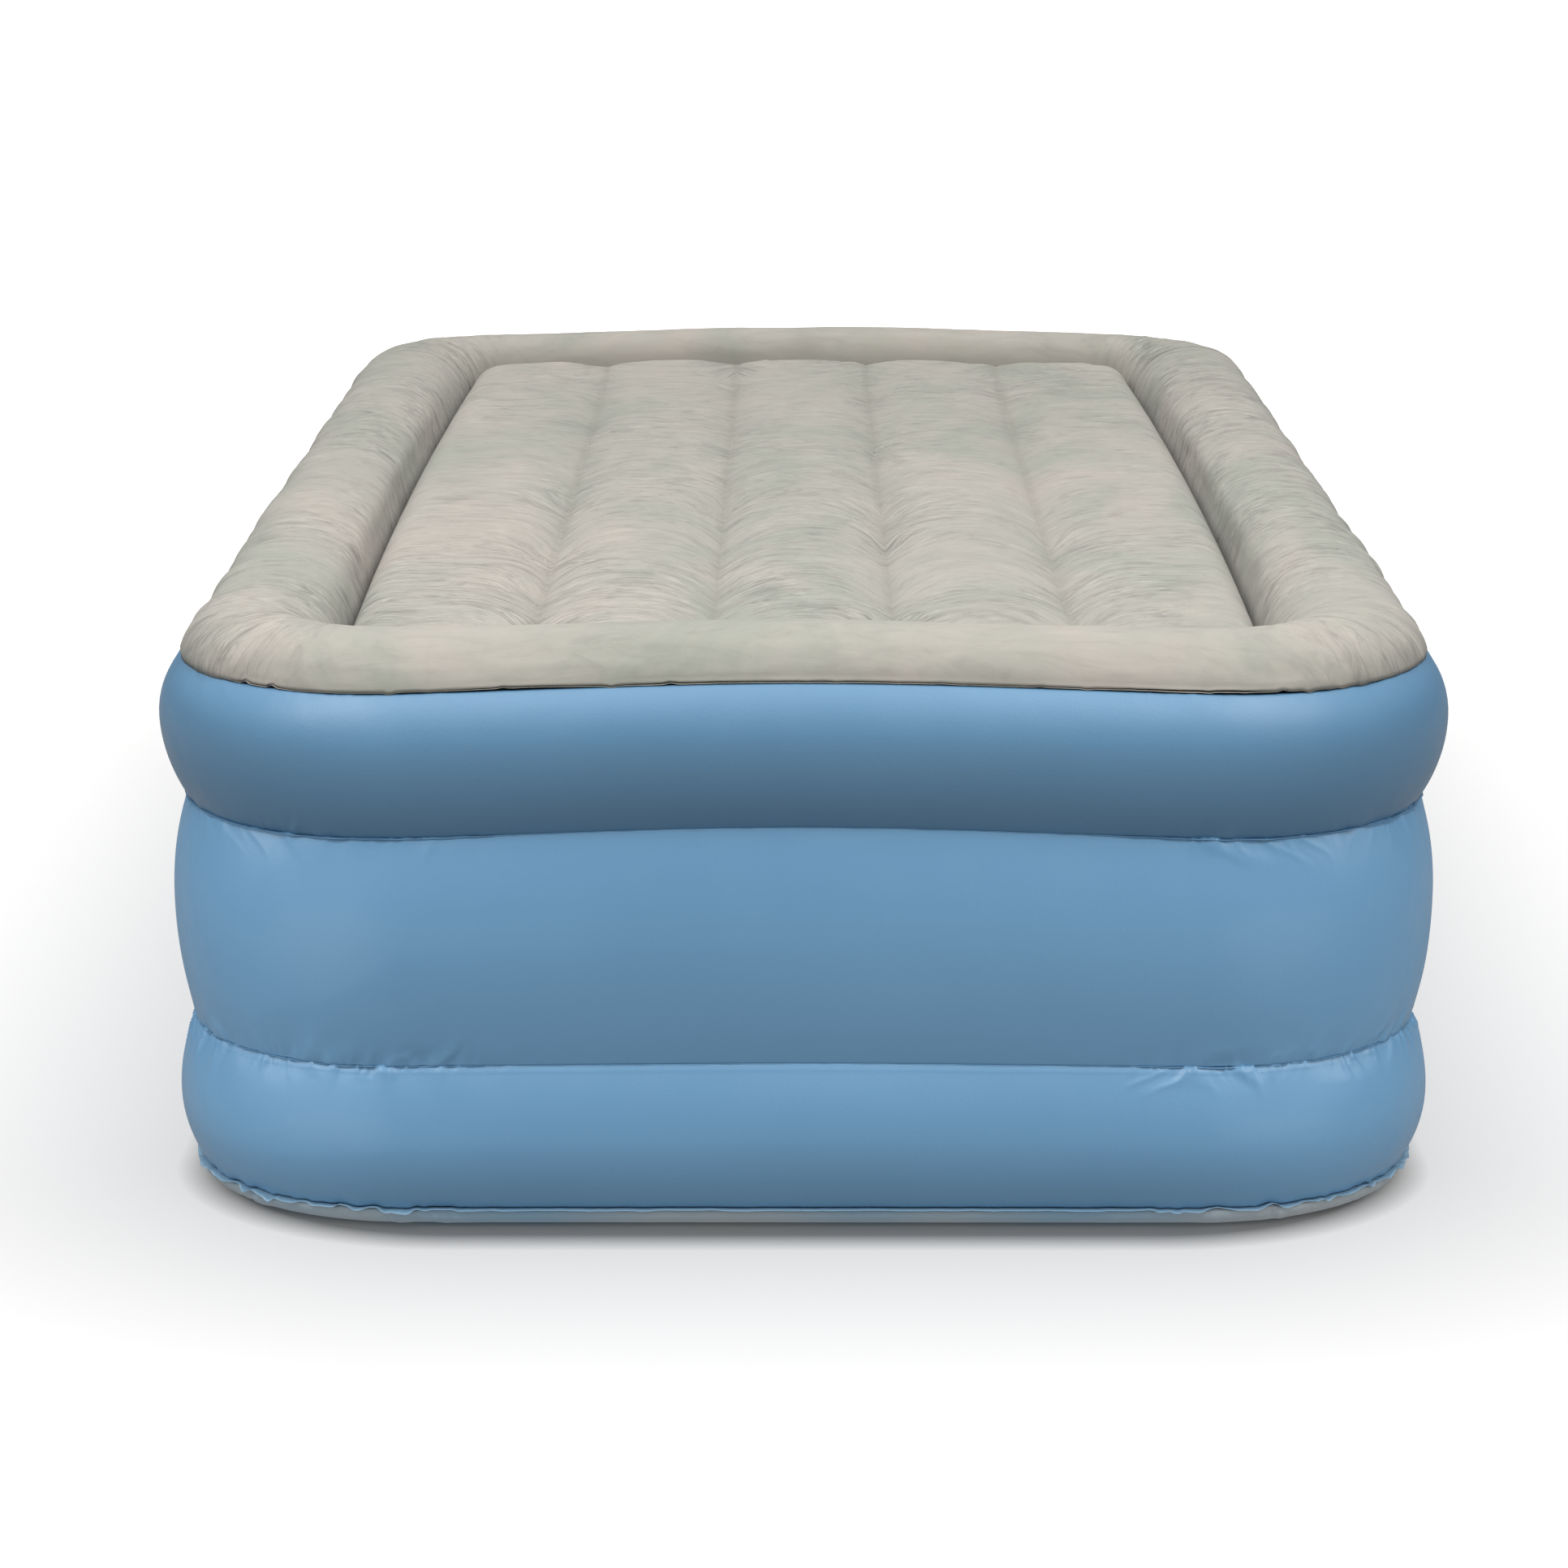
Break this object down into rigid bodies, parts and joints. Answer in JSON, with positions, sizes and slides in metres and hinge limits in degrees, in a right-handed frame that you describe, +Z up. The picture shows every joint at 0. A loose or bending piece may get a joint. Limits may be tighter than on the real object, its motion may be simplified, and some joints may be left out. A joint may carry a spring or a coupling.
{
  "type": "raised twin air mattress",
  "caption": "Raised twin air bed: three stacked blue side tiers, a flocked border tube round a channelled sleeping surface, and a built-in electric pump at the head end.",
  "frame": {"origin": "centre of the footprint, on the floor", "axes": "+X to the sleeper's side, +Y along the bed towards the head end, which holds the pump, +Z up"},
  "size_m": [0.99, 1.9, 0.4503],
  "materials": {
    "flocked_vinyl": "flocked, suede-like, mottled beige",
    "blue_vinyl": "satin blue vinyl film",
    "base_vinyl": "satin grey-blue vinyl film",
    "inner_vinyl": "unprinted vinyl film",
    "shell_plastic": "fine spark texture",
    "black_plastic": "smooth",
    "pale_plastic": "smooth",
    "soft_rubber": "matt",
    "steel": "zinc plated",
    "lead_insulation": "insulated copper lead"
  },
  "bodies": {
    "mattress": {"border_ring": "flocked_vinyl", "sleeping_panel": "flocked_vinyl", "top_weld_flange": "flocked_vinyl", "upper_side_band": "blue_vinyl", "middle_side_band": "blue_vinyl", "lower_side_band": "blue_vinyl", "hem_weld_flange": "blue_vinyl", "socket_flange": "blue_vinyl", "base_sheet": "base_vinyl", "upper_deck_sheet": "inner_vinyl", "lower_girdle_sheet": "inner_vinyl", "upper_beam_1": "inner_vinyl", "upper_beam_2": "inner_vinyl", "upper_beam_3": "inner_vinyl", "upper_beam_4": "inner_vinyl", "lower_beam_1": "inner_vinyl", "lower_beam_2": "inner_vinyl", "lower_beam_3": "inner_vinyl", "lower_beam_4": "inner_vinyl", "front_plate": "shell_plastic", "pump_housing": "shell_plastic", "cord_bay_tray": "shell_plastic", "valve_duct": "shell_plastic", "valve_guide": "shell_plastic", "switch_frame": "black_plastic", "fan_volute": "black_plastic", "face_gasket": "soft_rubber", "cord_gland": "soft_rubber", "motor_cradle": "soft_rubber", "plate_screw_1": "steel", "plate_screw_2": "steel", "plate_screw_3": "steel", "plate_screw_4": "steel", "door_hinge_pin": "steel", "valve_spring": "steel", "motor": "steel", "motor_lead": "lead_insulation"},
    "dial": {"mode_dial": "pale_plastic", "dial_spindle": "black_plastic"},
    "valve": {"valve_stem": "black_plastic", "valve_flap": "soft_rubber"},
    "rocker": {"switch_rocker": "black_plastic"},
    "door": {"cord_bay_door": "shell_plastic"},
    "fan": {"impeller": "pale_plastic", "motor_shaft": "steel"}
  },
  "joints": [
    {"name": "dial_turn", "type": "hinge", "parent": "mattress", "child": "dial", "pos_m": [-0.224, 0.944, 0.231], "axis": [0, 1, 0], "range_deg": [0, 90]},
    {"name": "valve_slide", "type": "slide", "parent": "mattress", "child": "valve", "axis": [0, -1, 0], "range_m": [0, 0.008], "deforming": ["valve_spring"]},
    {"name": "power_rocker", "type": "hinge", "parent": "mattress", "child": "rocker", "pos_m": [-0.224, 0.94, 0.176], "axis": [-1, 0, 0], "range_deg": [0, 18]},
    {"name": "door_swing", "type": "hinge", "parent": "mattress", "child": "door", "pos_m": [-0.0794, 0.943, 0.216], "axis": [0, 0, -1], "range_deg": [0, 110]},
    {"name": "fan_spin", "type": "hinge", "parent": "mattress", "child": "fan", "pos_m": [-0.14, 0.842, 0.216], "axis": [-1, 0, 0], "continuous": true}
  ],
  "couplings": [
    {"joint": "valve_slide", "follows": "dial_turn", "m_per_rad": 0.005093}
  ]
}
